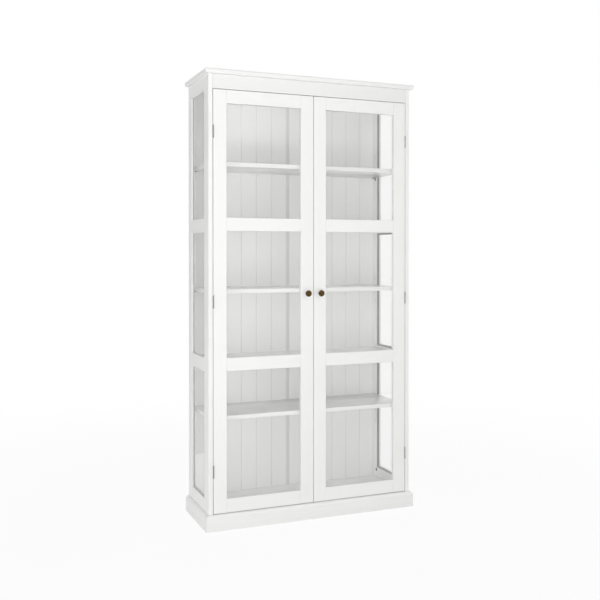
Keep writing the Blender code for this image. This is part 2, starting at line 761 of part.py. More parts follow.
def door_rail(name, low, high, window_below, window_above, side, axis):
    """Door cross rail: tenons enter the stile grooves, and grooves hold the panes it borders."""
    reach = PANE_GROOVE_DEPTH - JOINT_GAP
    xs = [PANE_LEFT_X - reach, PANE_LEFT_X + JOINT_GAP, PANE_RIGHT_X - JOINT_GAP, PANE_RIGHT_X + reach]
    ys = [FRONT_Y, GROOVE_FRONT_Y, DOOR_PANE_FRONT_Y, DOOR_PANE_REAR_Y, GROOVE_REAR_Y, DOOR_REAR_Y]
    zs = [low, low + PANE_GROOVE_DEPTH, high - PANE_GROOVE_DEPTH, high]
    grooved = {0: window_below, 1: False, 2: window_above}

    def filled(i, j, k):
        core = i == 1 and (j in (0, 4) or not grooved[k])
        tenon = i != 1 and j == 2 and not grooved[k]
        return core or tenon

    bm = blocks(xs, ys, zs, filled)
    ease(bm, edges_on(bm, 1, FRONT_Y) + edges_on(bm, 1, DOOR_REAR_Y))
    place(name, bm, painted, (PANE_LEFT_X, FRONT_Y, low), side, axis)


def door_windows():
    return windows(DOOR_BOTTOM + DOOR_BOTTOM_RAIL_HEIGHT, DOOR_TOP - DOOR_TOP_RAIL_HEIGHT,
                   MID_RAIL_HEIGHT)


def door_rails(hand, side, axis):
    """The four rails fill the stretches below, between and above the windows."""
    lower, middle, upper = door_windows()
    rails = (("bottom", DOOR_BOTTOM, lower[1], False, True), ("lower_mid", lower[2], middle[1], True, True),
             ("upper_mid", middle[2], upper[1], True, True), ("top", upper[2], DOOR_TOP, True, False))
    for label, low, high, below, above in rails:
        door_rail(f"{hand}_door_{label}_rail", low, high, below, above, side, axis)


def door_panes(hand, side, axis):
    """Three panes whose edges lie in the grooves of the stiles and rails."""
    reach = PANE_GROOVE_DEPTH - PANE_PLAY
    for level, low, high in door_windows():
        bm = box((PANE_LEFT_X - reach, DOOR_PANE_FRONT_Y, low - reach),
                 (PANE_RIGHT_X + reach, DOOR_PANE_REAR_Y, high + reach))
        origin = (PANE_LEFT_X, DOOR_PANE_FRONT_Y, low)
        place(f"{hand}_door_{level}_pane", bm, clear_glass, origin, side, axis)


# Hinges

def leaf_plate(own_rows, direction, cuts):
    """Flat of a hinge leaf; it reaches the pin only at the rows of its own knuckles."""
    near = LEAF_SPACING / 2 + direction * HINGE_SET_OVER
    far = near + LEAF_THICKNESS
    face_y = FRONT_Y - HINGE_Y
    xs = sorted((direction * near, direction * far))
    ys = [0, face_y, face_y + LEAF_WIDTH]
    zs = [-HINGE_LENGTH / 2, *cuts, HINGE_LENGTH / 2]
    plate = blocks(xs, ys, zs, lambda i, j, k: j == 1 or k in own_rows)
    holes = []
    for offset in (-SCREW_SPACING / 2, SCREW_SPACING / 2):
        start = (direction * (near - JOINT_GAP), face_y + SCREW_SETBACK, offset)
        holes.append(rod(start, (direction, 0, 0), SCREW_HEAD_HOLE_RADIUS,
                         LEAF_THICKNESS + 2 * JOINT_GAP, HOLE_SIDES))
    return combined(plate, joined(holes), "DIFFERENCE")


def case_leaf():
    """Leaf for the side frame, with the outer knuckles and the pin that is riveted in them."""
    end = HINGE_LENGTH / 2
    cut = HINGE_LENGTH / 6 + KNUCKLE_GAP / 2
    lower = rod((0, 0, -end), (0, 0, 1), BARREL_RADIUS, end - cut, BARREL_SIDES)
    upper = rod((0, 0, cut), (0, 0, 1), BARREL_RADIUS, end - cut, BARREL_SIDES)
    return united([leaf_plate((0, 2), 1, (-cut, cut)), lower, upper, hinge_pin()])


def door_leaf():
    """Leaf for the door's edge, with the middle knuckle, which turns on the pin."""
    cut = HINGE_LENGTH / 6 - KNUCKLE_GAP / 2
    knuckle = rod((0, 0, -cut), (0, 0, 1), BARREL_RADIUS, 2 * cut, BARREL_SIDES)
    bore = rod((0, 0, -cut - KNUCKLE_GAP), (0, 0, 1), HINGE_PIN_RADIUS + HINGE_PIN_PLAY,
               2 * (cut + KNUCKLE_GAP), BARREL_SIDES)
    body = united([leaf_plate((1,), -1, (-cut, cut)), knuckle])
    return combined(body, bore, "DIFFERENCE")


def hinge_pin():
    """Pin with a small ball above and below the barrel."""
    ball = HINGE_BALL_RADIUS
    centre = HINGE_LENGTH / 2 + ball * math.cos(HINGE_BALL_NECK)
    upper = []
    for step in range(HINGE_BALL_STEPS):
        angle = HINGE_BALL_NECK + (math.pi - HINGE_BALL_NECK) * step / HINGE_BALL_STEPS
        upper.append((ball * math.sin(angle), centre - ball * math.cos(angle)))
    upper.append((0, centre + ball))
    root = HINGE_LENGTH / 2 - KNUCKLE_GAP
    half = [(HINGE_PIN_RADIUS, root)] + upper
    return turned([(r, -z) for r, z in reversed(half)] + half, BARREL_SIDES)


def hinges(hand, side, axis):
    """Three alike butt hinges; the case leaves stay with the case."""
    case_mesh = finished_mesh(hand + "_case_leaf", case_leaf(), nickel_steel, side, smooth=True)
    door_mesh = finished_mesh(hand + "_door_leaf", door_leaf(), nickel_steel, side, smooth=True)
    for level, height in HINGE_CENTRES.items():
        location = (side * HINGE_X, HINGE_Y, height)
        put(f"{hand}_{level}_hinge_case_leaf", case_mesh, location)
        put(f"{hand}_{level}_hinge_door_leaf", door_mesh, location, axis)


# Knobs

def knob(hand, side, axis):
    """Turned knob: foot, slim neck and a rimmed, slightly domed head."""
    reach, radius, neck = KNOB_REACH, KNOB_RADIUS, KNOB_NECK_RADIUS
    bore, foot = KNOB_SCREW_HOLE_RADIUS, KNOB_FOOT_RADIUS
    profile = [
        (0, KNOB_BORE_DEPTH), (bore, KNOB_BORE_DEPTH), (bore, JOINT_GAP),
        (foot, JOINT_GAP), (foot, 0.05 * reach + JOINT_GAP), (0.9 * foot, 0.11 * reach),
        (1.15 * neck, 0.16 * reach), (neck, 0.30 * reach), (1.12 * neck, 0.50 * reach),
        (0.68 * radius, 0.58 * reach), (0.93 * radius, 0.64 * reach), (radius, 0.72 * reach),
        (0.97 * radius, 0.80 * reach), (0.86 * radius, 0.86 * reach), (0.78 * radius, 0.865 * reach),
        (0.72 * radius, 0.89 * reach), (0.45 * radius, 0.97 * reach), (0, reach),
    ]
    bm = turned(profile, KNOB_SIDES)
    aim(bm, (MEETING_STILE_CENTRE, FRONT_Y, KNOB_HEIGHT), (0, -1, 0))
    place(hand + "_door_knob", bm, aged_brass, (MEETING_STILE_CENTRE, FRONT_Y, KNOB_HEIGHT), side,
          axis, smooth=True)


# Catches

def magnet_catch(name, side):
    """Magnetic catch on the back of the frieze; its nose waits behind the top of a door."""
    foot_y = FRONT_Y + FRIEZE_THICKNESS + JOINT_GAP
    nose_y = DOOR_REAR_Y + JOINT_GAP + STRIKE_THICKNESS + JOINT_GAP
    rear_y = max(foot_y, nose_y) + CATCH_DEPTH
    xs = [MEETING_STILE_CENTRE - CATCH_WIDTH / 2, MEETING_STILE_CENTRE + CATCH_WIDTH / 2]
    ys = sorted({foot_y, nose_y, rear_y})
    zs = [DOOR_TOP - CATCH_NOSE_HEIGHT, FRIEZE_BOTTOM + JOINT_GAP, FRIEZE_BOTTOM + CATCH_FOOT_HEIGHT]
    bm = blocks(xs, ys, zs, lambda i, j, k: ys[j] >= (nose_y if k == 0 else foot_y))
    place(name, bm, white_plastic, (MEETING_STILE_CENTRE, foot_y, FRIEZE_BOTTOM), side)


def strike_plate(hand, side, axis):
    """Steel plate on the back of the door, opposite the magnet."""
    half = STRIKE_WIDTH / 2
    top = DOOR_TOP - STRIKE_TOP_INSET
    front = DOOR_REAR_Y + JOINT_GAP
    bm = box((MEETING_STILE_CENTRE - half, front, top - STRIKE_HEIGHT),
             (MEETING_STILE_CENTRE + half, front + STRIKE_THICKNESS, top))
    place(hand + "_door_strike_plate", bm, nickel_steel, (MEETING_STILE_CENTRE, front, top), side, axis)


# Assembly

def build_case():
    base_panel()
    plinth_front()
    plinth_rear()
    cap_board()
    frieze_rail()
    back_joining_strip()
    fixed_shelf("lower_fixed_shelf", LOWER_RAIL_CENTRE)
    fixed_shelf("upper_fixed_shelf", UPPER_RAIL_CENTRE)
    loose_shelves()


def build_side(hand, side):
    plinth_side("plinth_" + hand, side)
    side_frame(hand + "_side_frame", side)
    side_panes(hand, side)
    back_panel("back_panel_" + hand, side)
    magnet_catch(hand + "_magnet_catch", side)


def build_door(hand, side):
    """The pieces of one door, with its leaves, hang on an empty on the hinge axis."""
    axis = empty(hand + "_door_axis", (side * HINGE_X, HINGE_Y, DOOR_BOTTOM))
    hinge_stile(hand, side, axis)
    meeting_stile(hand, side, axis)
    door_rails(hand, side, axis)
    door_panes(hand, side, axis)
    hinges(hand, side, axis)
    knob(hand, side, axis)
    strike_plate(hand, side, axis)


def main():
    clear_scene()
    build_case()
    for hand, side in (("left", -1), ("right", 1)):
        build_side(hand, side)
        build_door(hand, side)


main()
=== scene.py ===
"""Looks of a tall white display cabinet with glazed doors, glazed sides and a boarded back.

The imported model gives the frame. This script finishes every surface of it and adds the seals, the
loose shelves on their supports, the screws, the cam locks and the turned knobs. Then it sets up a
plain studio and the camera. Metres, +Z up, doors facing -Y, origin on the floor.
"""

import itertools
import json
import math

import bmesh
import bpy
from mathutils import Matrix, Vector

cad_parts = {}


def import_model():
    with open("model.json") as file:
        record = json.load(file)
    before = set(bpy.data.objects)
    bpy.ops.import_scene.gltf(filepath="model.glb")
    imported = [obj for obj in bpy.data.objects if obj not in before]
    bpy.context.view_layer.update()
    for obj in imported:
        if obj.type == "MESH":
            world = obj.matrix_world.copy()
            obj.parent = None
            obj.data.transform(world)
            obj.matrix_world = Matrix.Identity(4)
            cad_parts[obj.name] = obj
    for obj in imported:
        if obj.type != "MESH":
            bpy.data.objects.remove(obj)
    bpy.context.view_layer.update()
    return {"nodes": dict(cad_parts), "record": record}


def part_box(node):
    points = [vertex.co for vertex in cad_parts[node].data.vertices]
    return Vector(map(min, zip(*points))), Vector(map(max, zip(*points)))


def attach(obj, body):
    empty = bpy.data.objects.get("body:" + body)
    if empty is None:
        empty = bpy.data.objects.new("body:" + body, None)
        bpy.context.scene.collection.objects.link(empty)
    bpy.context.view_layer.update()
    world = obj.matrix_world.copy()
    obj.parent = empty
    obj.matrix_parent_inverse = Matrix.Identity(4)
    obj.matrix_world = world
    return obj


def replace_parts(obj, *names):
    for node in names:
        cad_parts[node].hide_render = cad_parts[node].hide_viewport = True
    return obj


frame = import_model()

MM = 0.001
HANDS = (("left", -1), ("right", 1))
LEVELS = ("lower", "middle", "upper")
AXES = "xyz"

# Places taken from the solids

SIDE_LOW, SIDE_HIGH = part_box("right_side_frame")
SIDE_INNER_X = SIDE_LOW.x
SIDE_OUTER_X = SIDE_HIGH.x
FRONT_Y = SIDE_LOW.y
REAR_Y = SIDE_HIGH.y
DOOR_OUTER_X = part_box("right_door_hinge_stile")[1].x
DOOR_REAR_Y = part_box("right_door_hinge_stile")[1].y
BACK_FACE_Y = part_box("back_panel_right")[0].y

# Rows of the drilled holes, by their distances from the front and the rear of the side frames

SUPPORT_INSETS = (50.0 * MM, 25.0 * MM)
CAM_INSETS = (34.0 * MM, 35.0 * MM)
SUPPORT_ROWS_Y = (FRONT_Y + SUPPORT_INSETS[0], REAR_Y - SUPPORT_INSETS[1])
CAM_ROWS_Y = (FRONT_Y + CAM_INSETS[0], REAR_Y - CAM_INSETS[1])


# Geometry helpers

ROUND_SIDES = 48
SMOOTH_ANGLE = math.radians(35)
# Points closer than this are one
SAME_PLACE = 1e-7


def link_object(name, data):
    obj = bpy.data.objects.new(name, data)
    bpy.context.scene.collection.objects.link(obj)
    return obj


def link_piece(name, mesh, body, place=None):
    """A piece that rides on a body, drawn in the frame's own place or put where the matrix says."""
    obj = link_object(name, mesh)
    if place is not None:
        obj.matrix_world = place
    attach(obj, body)
    return obj


def plain_mesh(name, bm):
    mesh = bpy.data.meshes.new(name)
    bm.to_mesh(mesh)
    bm.free()
    return mesh


def mesh_from(name, bm, material):
    bmesh.ops.recalc_face_normals(bm, faces=bm.faces[:])
    mesh = plain_mesh(name, bm)
    mesh.materials.append(material)
    mesh.shade_smooth()
    mesh.set_sharp_from_angle(angle=SMOOTH_ANGLE)
    return mesh


def turned(profile, sides=ROUND_SIDES):
    """Solid of revolution about Z through (radius, height) points; ends lie on the axis."""
    bm = bmesh.new()
    rings = []
    for radius, height in profile:
        if radius < SAME_PLACE:
            rings.append([bm.verts.new((0, 0, height))])
            continue
        ring = []
        for step in range(sides):
            angle = 2 * math.pi * step / sides
            ring.append(bm.verts.new((radius * math.cos(angle), radius * math.sin(angle), height)))
        rings.append(ring)
    for low, high in zip(rings, rings[1:]):
        for step in range(sides):
            after = (step + 1) % sides
            corners = [low[step % len(low)], low[after % len(low)],
                       high[after % len(high)], high[step % len(high)]]
            unique = list(dict.fromkeys(corners))
            if len(unique) > 2:
                bm.faces.new(unique)
    return bm


def block(low, high):
    bm = bmesh.new()
    bmesh.ops.create_cube(bm, size=1)
    low, high = Vector(low), Vector(high)
    size = high - low
    bmesh.ops.scale(bm, vec=size, verts=bm.verts[:])
    bmesh.ops.translate(bm, vec=(low + high) / 2, verts=bm.verts[:])
    return bm


def eased_block(low, high, width):
    bm = block(low, high)
    bmesh.ops.bevel(bm, geom=bm.edges[:], offset=width, segments=3, profile=0.5,
                    affect="EDGES", clamp_overlap=True)
    return bm


def turn_to(bm, direction):
    """Turns a shape that points up so that it points along direction."""
    matrix = Vector((0, 0, 1)).rotation_difference(Vector(direction)).to_matrix()
    bmesh.ops.rotate(bm, cent=(0, 0, 0), matrix=matrix, verts=bm.verts[:])
    return bm


def moved(bm, offset):
    bmesh.ops.translate(bm, vec=offset, verts=bm.verts[:])
    return bm


def solid_of(bm, others, operation):
    """bm with the other shapes added or cut, as one clean surface."""
    parts = []
    for shape in [bm] + others:
        bmesh.ops.recalc_face_normals(shape, faces=shape.faces[:])
        parts.append(link_object("part", plain_mesh("part", shape)))
    whole = parts[0]
    for tool in parts[1:]:
        modifier = whole.modifiers.new("boolean", "BOOLEAN")
        modifier.operation = operation
        modifier.solver = "EXACT"
        modifier.object = tool
    bpy.context.view_layer.update()
    evaluated = whole.evaluated_get(bpy.context.evaluated_depsgraph_get())
    result = bmesh.new()
    result.from_mesh(evaluated.to_mesh())
    evaluated.to_mesh_clear()
    for part in parts:
        mesh = part.data
        bpy.data.objects.remove(part)
        bpy.data.meshes.remove(mesh)
    bmesh.ops.remove_doubles(result, verts=result.verts[:], dist=SAME_PLACE)
    return result


# Node trees

def rgb(red, green, blue):
    return (red, green, blue, 1.0)


def tinted(colour, share):
    return rgb(*[share * channel for channel in colour[:3]])


MIX_INPUTS = (6, 7)
MIX_OUTPUT = 2
WHITE = rgb(1.0, 1.0, 1.0)
# Values between which nearly all of a noise texture lies, and those of its middle part
NOISE_SPAN = (0.3, 0.7)
NOISE_MIDDLE = (0.34, 0.66)


class Graph:
    """The node tree of a material or a world, built one node at a time."""

    def __init__(self, owner):
        self.owner = owner
        owner.use_nodes = True
        self.tree = owner.node_tree
        self.tree.nodes.clear()

    def node(self, kind, inputs=None, **settings):
        made = self.tree.nodes.new(kind)
        for key, value in settings.items():
            setattr(made, key, value)
        for key, value in (inputs or {}).items():
            self.put(made.inputs[key], value)
        return made

    def put(self, socket, value):
        if isinstance(value, bpy.types.NodeSocket):
            self.tree.links.new(value, socket)
        else:
            socket.default_value = value

    def place(self):
        return self.node("ShaderNodeTexCoord").outputs["Object"]

    def place_along(self):
        """The place's X, Y and Z, as outputs by name."""
        return self.node("ShaderNodeSeparateXYZ", {"Vector": self.place()}).outputs

    def stretched(self, scale):
        mapping = self.node("ShaderNodeMapping", {"Vector": self.place(), "Scale": scale})
        return mapping.outputs["Vector"]

    def noise(self, vector, scale=1.0, detail=3.0, roughness=0.5, distortion=0.0):
        made = self.node("ShaderNodeTexNoise", {
            "Vector": vector, "Scale": scale, "Detail": detail, "Roughness": roughness,
            "Distortion": distortion})
        return made.outputs["Fac"]

    def math(self, operation, first, second=0.0, clamp=False):
        made = self.node("ShaderNodeMath", operation=operation, use_clamp=clamp)
        self.put(made.inputs[0], first)
        self.put(made.inputs[1], second)
        return made.outputs[0]

    def spread(self, value, low, high, to_low, to_high, shape="LINEAR"):
        """value, taken from the range low to high into the range to_low to to_high."""
        made = self.node("ShaderNodeMapRange", {
            "Value": value, "From Min": low, "From Max": high, "To Min": to_low, "To Max": to_high},
            interpolation_type=shape)
        return made.outputs["Result"]

    def eased(self, value, low, high, to_low, to_high):
        return self.spread(value, low, high, to_low, to_high, "SMOOTHSTEP")

    def in_range(self, value, low, high):
        above, below = self.math("GREATER_THAN", value, low), self.math("LESS_THAN", value, high)
        return self.math("MULTIPLY", above, below)

    def between(self, share, first, second):
        """A mix of two colours, by the numbers that a mix node's colour sockets have."""
        made = self.node("ShaderNodeMix", {"Factor": share}, data_type="RGBA")
        self.put(made.inputs[MIX_INPUTS[0]], first)
        self.put(made.inputs[MIX_INPUTS[1]], second)
        return made.outputs[MIX_OUTPUT]

    def bump(self, height, distance, strength=1.0, below=None):
        inputs = {"Height": height, "Distance": distance, "Strength": strength}
        if below is not None:
            inputs["Normal"] = below
        return self.node("ShaderNodeBump", inputs).outputs["Normal"]

    def principled(self, **inputs):
        made = self.node("ShaderNodeBsdfPrincipled")
        for key, value in inputs.items():
            self.put(made.inputs[key.replace("_", " ")], value)
        return made

    def mixed(self, share, first, second):
        return self.node("ShaderNodeMixShader", {
            0: share, 1: first.outputs[0], 2: second.outputs[0]})

    def surface(self, shader, output="ShaderNodeOutputMaterial"):
        """Ends the tree with this shader and returns the material or world."""
        self.node(output, {"Surface": shader.outputs[0]})
        return self.owner


def new_material(name):
    return Graph(bpy.data.materials.new(name))


# White paint

PAINT_DARK = rgb(0.893, 0.891, 0.881)
PAINT_LIGHT = rgb(0.937, 0.936, 0.928)
PAINT_SOILED = rgb(0.7, 0.685, 0.65)
# Bare wood, made near black as painted shade in the drilled holes and cam pockets
BARE_WOOD_AND_HOLE_SHADE = rgb(0.08, 0.055, 0.035)
# Painted shade: a grey for the walls of the back's grooves, darker than the paint, standing in for the
# shade in them
GROOVE_SHADE = rgb(0.79, 0.785, 0.77)
# Painted shade: the frieze's paint is made this much darker, for the shade under the cap
FRIEZE_SHADE_TINT = 0.94
PAINT_ROUGHNESS = (0.34, 0.5)
# Shelves and floor are smoother: seen almost level, they mirror the boards of the back
SHELF_ROUGHNESS = (0.1, 0.2)
# Fineness of the textures, in waves per metre
GRAIN_FINENESS = 240.0
GRAIN_LENGTH_FINENESS = 9.0
ROLLER_FINENESS = 700.0
CLOUD_FINENESS = 4.5
SCUFF_FINENESS = 55.0
# Shares of the grain, the clouds and the board's own tone in the paint's tone
GRAIN_SHARE = 0.5
CLOUD_SHARE = 0.25
BOARD_SHARE = 0.25
# Only the highest values of their noise are scuffs
SCUFF_SPAN = (0.64, 0.72)
SCUFF_SHARE = 0.35
DUST_SHARE = 0.15
DUST_HEIGHT = 0.035
ROUGHNESS_SPAN = (0.4, 1.6)
SOILED_ROUGHNESS = 0.2
MARK_ROUGHNESS = 0.8
GRAIN_RELIEF = 0.06 * MM
ROLLER_RELIEF = 0.03 * MM

# The walls of the drilled holes and of the back's grooves are told by where they lie in the frame, and both
# get painted shade.
# They start just under the painted face and end short of the face behind.
WALL_START = 0.2 * MM
WOOD_BEHIND_HOLES = 2.0 * MM
GROOVE_REACH = 2.5 * MM
HOLE_DEPTHS = (SIDE_INNER_X + WALL_START, SIDE_OUTER_X - WOOD_BEHIND_HOLES)
GROOVE_DEPTHS = (BACK_FACE_Y + WALL_START, BACK_FACE_Y + GROOVE_REACH)
SUPPORT_HOLE_REACH = 3.6 * MM
CAM_POCKET_REACH = 8.2 * MM


def paint(name, grain_axis, shade_tint=1.0, marked=None, mark=None, roughness=PAINT_ROUGHNESS):
    """Satin white paint on wood: traces of the grain along one axis, roller texture, faint tone.

    Small scuffs and, close to the floor, a little dust dull it. Where marked(graph) is 1,
    the surface has the colour `mark` instead, such as painted shade: bare wood made near black in drilled
    holes, and a grey in the back's grooves.
    """
    g = new_material(name)
    fineness = [GRAIN_LENGTH_FINENESS if axis == grain_axis else GRAIN_FINENESS for axis in AXES]
    grain = g.noise(g.stretched(fineness), detail=4.0, roughness=0.55, distortion=0.3)
    grain = g.spread(grain, *NOISE_MIDDLE, 0.0, 1.0)
    roller = g.noise(g.place(), ROLLER_FINENESS, detail=2.0)
    cloud = g.spread(g.noise(g.place(), CLOUD_FINENESS, roughness=0.55), *NOISE_MIDDLE, 0.0, 1.0)
    board = g.node("ShaderNodeObjectInfo").outputs["Random"]
    tone = g.math("ADD", g.math("MULTIPLY", grain, GRAIN_SHARE), g.math("MULTIPLY", cloud, CLOUD_SHARE))
    tone = g.math("ADD", tone, g.math("MULTIPLY", board, BOARD_SHARE), clamp=True)
    colour = g.between(tone, tinted(PAINT_DARK, shade_tint), tinted(PAINT_LIGHT, shade_tint))
    scuff = g.noise(g.place(), SCUFF_FINENESS, detail=4.0, roughness=0.7, distortion=1.2)
    scuff = g.spread(scuff, *SCUFF_SPAN, 0.0, 1.0)
    near_floor = g.spread(g.place_along()["Z"], 0.0, DUST_HEIGHT, 1.0, 0.0)
    dust = g.math("MULTIPLY", near_floor, cloud, clamp=True)
    soiled = g.math("MAXIMUM", g.math("MULTIPLY", scuff, SCUFF_SHARE), g.math("MULTIPLY", dust, DUST_SHARE))
    colour = g.between(soiled, colour, PAINT_SOILED)
    rough = g.spread(g.math("ADD", cloud, roller), *ROUGHNESS_SPAN, *roughness)
    rough = g.math("ADD", rough, g.math("MULTIPLY", soiled, SOILED_ROUGHNESS))
    if marked:
        there = marked(g)
        colour = g.between(there, colour, mark)
        rough = g.math("MAXIMUM", rough, g.math("MULTIPLY", there, MARK_ROUGHNESS))
    relief = g.bump(roller, ROLLER_RELIEF, below=g.bump(grain, GRAIN_RELIEF))
    return g.surface(g.principled(
        Base_Color=colour, Roughness=rough, Specular_IOR_Level=0.45, Normal=relief))


def hole_shade_mask(g):
    """1 on the walls of the support holes and cam pockets, which get painted shade."""
    place = g.place_along()
    inside = g.in_range(g.math("ABSOLUTE", place["X"]), *HOLE_DEPTHS)
    near_row = 0.0
    for rows, reach in ((SUPPORT_ROWS_Y, SUPPORT_HOLE_REACH), (CAM_ROWS_Y, CAM_POCKET_REACH)):
        for row in rows:
            near = g.in_range(place["Y"], row - reach, row + reach)
            near_row = g.math("MAXIMUM", near_row, near)
    return g.math("MULTIPLY", inside, near_row)


def groove_shade_mask(g):
    """1 on the walls of the grooves between the back's boards, where painted shade goes."""
    return g.in_range(g.place_along()["Y"], *GROOVE_DEPTHS)


# Glass, metals and plastics

GLASS_BODY = rgb(0.98, 0.984, 0.98)
GLASS_PASSED = rgb(0.99, 0.991, 0.99)
GLASS_INDEX = 1.46
WAVE_FINENESS = 2.2
WAVE_RELIEF = 0.2 * MM

BRUSH_FINENESS = (2500.0, 2500.0, 260.0)
STAIN_FINENESS = 160.0
METAL_ROUGHNESS = (0.24, 0.42)
BRUSH_RELIEF = 0.02 * MM

BRASS_PATINA = rgb(0.032, 0.019, 0.007)
BRASS_RUBBED = rgb(0.2, 0.125, 0.036)
PATINA_FINENESS = 260.0
RUBBED_SPAN = (0.42, 0.66)
BRASS_ROUGHNESS = (0.52, 0.3)
PIT_FINENESS = 1500.0
PIT_RELIEF = 0.04 * MM

PLASTIC_CLOUD_FINENESS = 25.0
PLASTIC_ROUGHNESS = (0.45, 0.62)
PLASTIC_RELIEF = 0.04 * MM
# Paler colour for faces looking up: partly dust, partly painted light from above
DUST_AND_TOP_LIGHT = rgb(0.72, 0.71, 0.69)
# How far a face looks up where the paler colour starts, and where it is full: partly dust, partly painted
# light from above
DUST_AND_LIGHT_UPWARD = (0.1, 0.6)
DUST_AND_LIGHT_PATCHES = (0.8, 1.0)


def glass():
    """Clear float glass, with the slightest waviness; lamps and bounced light pass it."""
    g = new_material("clear_glass")
    wave = g.noise(g.place(), WAVE_FINENESS, detail=1.0, roughness=0.4)
    solid = g.principled(
        Base_Color=GLASS_BODY, Roughness=0.0, IOR=GLASS_INDEX, Transmission_Weight=1.0,
        Normal=g.bump(wave, WAVE_RELIEF, strength=0.4))
    clear = g.node("ShaderNodeBsdfTransparent", {"Color": GLASS_PASSED})
    path = g.node("ShaderNodeLightPath").outputs
    passing = g.math("MAXIMUM", path["Is Shadow Ray"], path["Is Diffuse Ray"])
    return g.surface(g.mixed(passing, solid, clear))


def dull_metal(name, dark, light):
    """Dull plated metal: soft brushing, faint stains."""
    g = new_material(name)
    brushed = g.noise(g.stretched(BRUSH_FINENESS), roughness=0.6)
    stain = g.noise(g.place(), STAIN_FINENESS, detail=4.0, roughness=0.6)
    colour = g.between(stain, dark, light)
    rough = g.spread(stain, *NOISE_SPAN, *METAL_ROUGHNESS)
    return g.surface(g.principled(
        Base_Color=colour, Metallic=1.0, Roughness=rough, Normal=g.bump(brushed, BRUSH_RELIEF)))


def brass():
    """Antique brass: a dark brown patina, rubbed back to metal in places."""
    g = new_material("aged_brass")
    patina = g.noise(g.place(), PATINA_FINENESS, detail=5.0, roughness=0.65, distortion=0.5)
    rubbed = g.spread(patina, *RUBBED_SPAN, 0.0, 1.0)
    colour = g.between(rubbed, BRASS_PATINA, BRASS_RUBBED)
    rough = g.spread(patina, *NOISE_SPAN, *BRASS_ROUGHNESS)
    pits = g.noise(g.place(), PIT_FINENESS, roughness=0.6)
    return g.surface(g.principled(
        Base_Color=colour, Metallic=0.9, Roughness=rough, Normal=g.bump(pits, PIT_RELIEF)))


def plastic(name, light, dark, fineness, dust=0.0):
    """Moulded plastic or rubber with a fine grain, and a paler colour where it faces up: partly dust,
    partly painted light from above.
    """
    g = new_material(name)
    fine = g.noise(g.place(), fineness)
    cloud = g.noise(g.place(), PLASTIC_CLOUD_FINENESS)
    colour = g.between(cloud, dark, light)
    if dust:
        facing = g.node("ShaderNodeNewGeometry").outputs["Normal"]
        upward = g.node("ShaderNodeSeparateXYZ", {"Vector": facing}).outputs["Z"]
        dust_and_light_share = g.eased(upward, *DUST_AND_LIGHT_UPWARD, 0.0, dust)
        patches = g.spread(fine, *NOISE_SPAN, *DUST_AND_LIGHT_PATCHES)
        colour = g.between(g.math("MULTIPLY", dust_and_light_share, patches), colour, DUST_AND_TOP_LIGHT)
    rough = g.spread(fine, *NOISE_SPAN, *PLASTIC_ROUGHNESS)
    return g.surface(g.principled(
        Base_Color=colour, Roughness=rough, Specular_IOR_Level=0.4,
        Normal=g.bump(fine, PLASTIC_RELIEF)))


PAINTS = {axis: paint("white_paint_" + axis, axis) for axis in AXES}
HOLE_SHADED_PAINT = paint("white_paint_hole_shade", "z", marked=hole_shade_mask, mark=BARE_WOOD_AND_HOLE_SHADE)
GROOVE_SHADED_PAINT = paint("white_paint_groove_shade", "z", marked=groove_shade_mask, mark=GROOVE_SHADE)
FRIEZE_SHADED_PAINT = paint("white_paint_frieze_shade", "x", shade_tint=FRIEZE_SHADE_TINT)
SHELF_PAINT = paint("white_paint_shelf", "x", roughness=SHELF_ROUGHNESS)
FINISHES = {
    "clear_glass": glass(),
    "nickel_steel": dull_metal("nickel_steel", rgb(0.3, 0.295, 0.285), rgb(0.5, 0.495, 0.48)),
    # The cam locks' zinc is made near black, as painted shade of the pockets they sit in
    "cam_zinc_shaded": dull_metal("cam_zinc_shaded", rgb(0.035, 0.034, 0.033), rgb(0.08, 0.078, 0.075)),
    "aged_brass": brass(),
    "catch_plastic": plastic("catch_plastic", rgb(0.8, 0.8, 0.79), rgb(0.74, 0.74, 0.73), 1400.0),
    "strip_plastic": plastic("strip_plastic", rgb(0.78, 0.78, 0.77), rgb(0.72, 0.72, 0.71), 900.0),
    "support_steel": dull_metal("support_steel", rgb(0.12, 0.118, 0.112), rgb(0.22, 0.217, 0.21)),
    # The seals' faces that look up are paler: partly dust, partly painted light from above
    "seal_grey": plastic("seal_grey", rgb(0.35, 0.35, 0.345), rgb(0.29, 0.29, 0.285), 1200.0,
                         dust=0.4),
}


def long_axis(name):
    low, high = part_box(name)
    size = high - low
    return max(AXES, key=lambda axis: getattr(size, axis))


def finish_of(name, slot):
    """A node's material: its slot's, and for painted boards one with the grain along their length."""
    if slot != "white_paint":
        return FINISHES[slot]
    if name.endswith("_side_frame"):
        return HOLE_SHADED_PAINT
    if name.startswith("back_panel_"):
        return GROOVE_SHADED_PAINT
    if name == "frieze_rail":
        return FRIEZE_SHADED_PAINT
    if name.endswith("_shelf") or name == "base_panel":
        return SHELF_PAINT
    return PAINTS[long_axis(name)]


def finish_nodes():
    for part in frame["record"]["subparts"]:
        name = part["node"]
        mesh = frame["nodes"][name].data
        mesh.materials.clear()
        mesh.materials.append(finish_of(name, part["material_slot"]))


# Seals round the side panes

# The panes lie in rebates of this width, with some play round them
SIDE_REBATE = 8.0 * MM
PANE_PLAY = 1.5 * MM
SEAL_GAP = 0.1 * MM
SEAL_SET_BACK = 0.2 * MM
SEAL_BACK_WIDTH = 0.6 * MM
SEAL_TOE = 0.5 * MM
SEAL_SWELL = 0.25 * MM
SEAL_STEPS = 4


